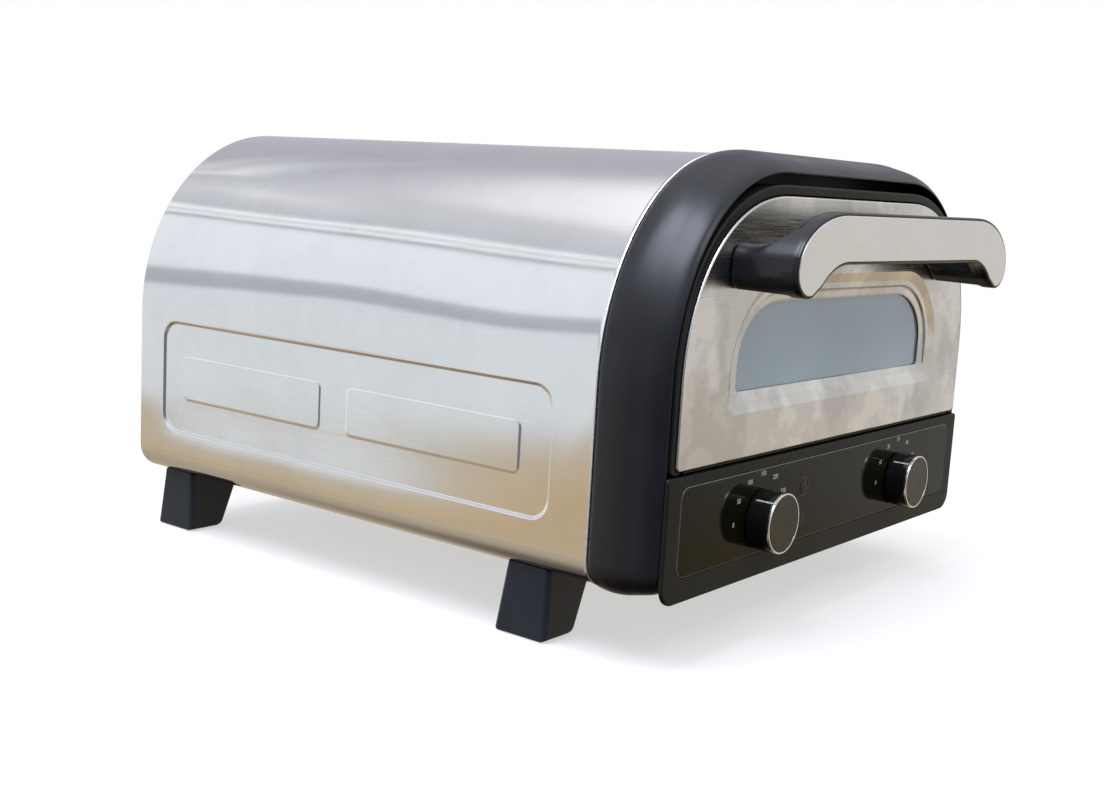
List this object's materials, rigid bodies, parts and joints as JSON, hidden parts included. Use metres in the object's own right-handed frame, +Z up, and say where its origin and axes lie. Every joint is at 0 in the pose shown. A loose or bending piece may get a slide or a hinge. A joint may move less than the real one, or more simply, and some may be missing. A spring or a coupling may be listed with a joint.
{
  "type": "countertop pizza oven",
  "caption": "Countertop electric pizza oven with an arched brushed steel shell, black front, drop-down windowed door, bar handle, control knobs, baking stone and feet.",
  "frame": {"origin": "centre of the object's footprint, on the surface that the feet stand on", "axes": "+Z up, -Y towards the front (door and controls), +X to the right as seen from the front"},
  "size_m": [0.424, 0.528, 0.3046],
  "materials": {
    "shell_steel": "fine brushed, satin",
    "door_steel": "brushed, satin",
    "satin_black": "satin moulded",
    "panel_glass": "polished",
    "window_glass": "tempered, clear",
    "rubber": "matt",
    "foot_plastic": "fine texture",
    "screw_steel": "bright plated",
    "knob_cap": "spun, with a polished rim",
    "element_sheath": "oxidised",
    "ceramic": "unglazed",
    "insulation": "glass wool",
    "cordierite": "fired, unpolished",
    "lamp_lens": "clear tinted",
    "cavity_steel": "aluminised, dull",
    "chassis_steel": "galvanised",
    "plated_steel": "zinc plated"
  },
  "bodies": {
    "oven": {"baking_stone": "cordierite", "base_plate": "chassis_steel", "cable_gland": "satin_black", "cavity_liner": "cavity_steel", "control_bracket": "plated_steel", "control_fascia": "satin_black", "control_glass": "panel_glass", "element_hanger": "plated_steel", "foot_front_left": "foot_plastic", "foot_front_right": "foot_plastic", "foot_pad_front_left": "rubber", "foot_pad_front_right": "rubber", "foot_pad_rear_left": "rubber", "foot_pad_rear_right": "rubber", "foot_rear_left": "foot_plastic", "foot_rear_right": "foot_plastic", "foot_screw_front_left": "screw_steel", "foot_screw_front_right": "screw_steel", "foot_screw_rear_left": "screw_steel", "foot_screw_rear_right": "screw_steel", "front_bezel": "satin_black", "front_frame": "cavity_steel", "heat_lamp": "lamp_lens", "hinge_arm_left": "plated_steel", "hinge_arm_right": "plated_steel", "insulation_rear": "insulation", "insulation_wrap": "insulation", "lower_heating_element": "element_sheath", "lower_terminal_block": "ceramic", "outer_shell": "shell_steel", "power_lamp": "lamp_lens", "rear_panel": "chassis_steel", "rear_screw_lower_left": "screw_steel", "rear_screw_lower_right": "screw_steel", "rear_screw_upper_left": "screw_steel", "rear_screw_upper_right": "screw_steel", "stone_rail_left": "plated_steel", "stone_rail_right": "plated_steel", "temperature_sensor": "plated_steel", "thermostat": "ceramic", "timer": "plated_steel", "upper_heating_element": "element_sheath", "upper_terminal_block": "ceramic"},
    "door": {"door_plate": "door_steel", "door_frame": "satin_black", "door_inner_panel": "cavity_steel", "door_seal": "rubber", "window_glass": "window_glass", "inner_window_glass": "window_glass", "hinge_rod": "plated_steel", "handle_body": "satin_black", "handle_plate": "door_steel", "handle_screw_left": "screw_steel", "handle_screw_right": "screw_steel"},
    "thermostat_dial": {"thermostat_knob": "satin_black", "thermostat_knob_cap": "knob_cap", "thermostat_knob_shaft": "plated_steel"},
    "timer_dial": {"timer_knob": "satin_black", "timer_knob_cap": "knob_cap", "timer_knob_shaft": "plated_steel"}
  },
  "joints": [
    {"name": "door_hinge", "type": "hinge", "parent": "oven", "child": "door", "pos_m": [0, -0.2155, 0.1245], "axis": [1, 0, 0], "range_deg": [0, 90]},
    {"name": "thermostat_turn", "type": "hinge", "parent": "oven", "child": "thermostat_dial", "pos_m": [-0.0982, -0.2285, 0.0793], "axis": [0, 1, 0], "range_deg": [-48, 162]},
    {"name": "timer_turn", "type": "hinge", "parent": "oven", "child": "timer_dial", "pos_m": [0.0982, -0.2285, 0.0793], "axis": [0, 1, 0], "range_deg": [-48, 162]}
  ]
}
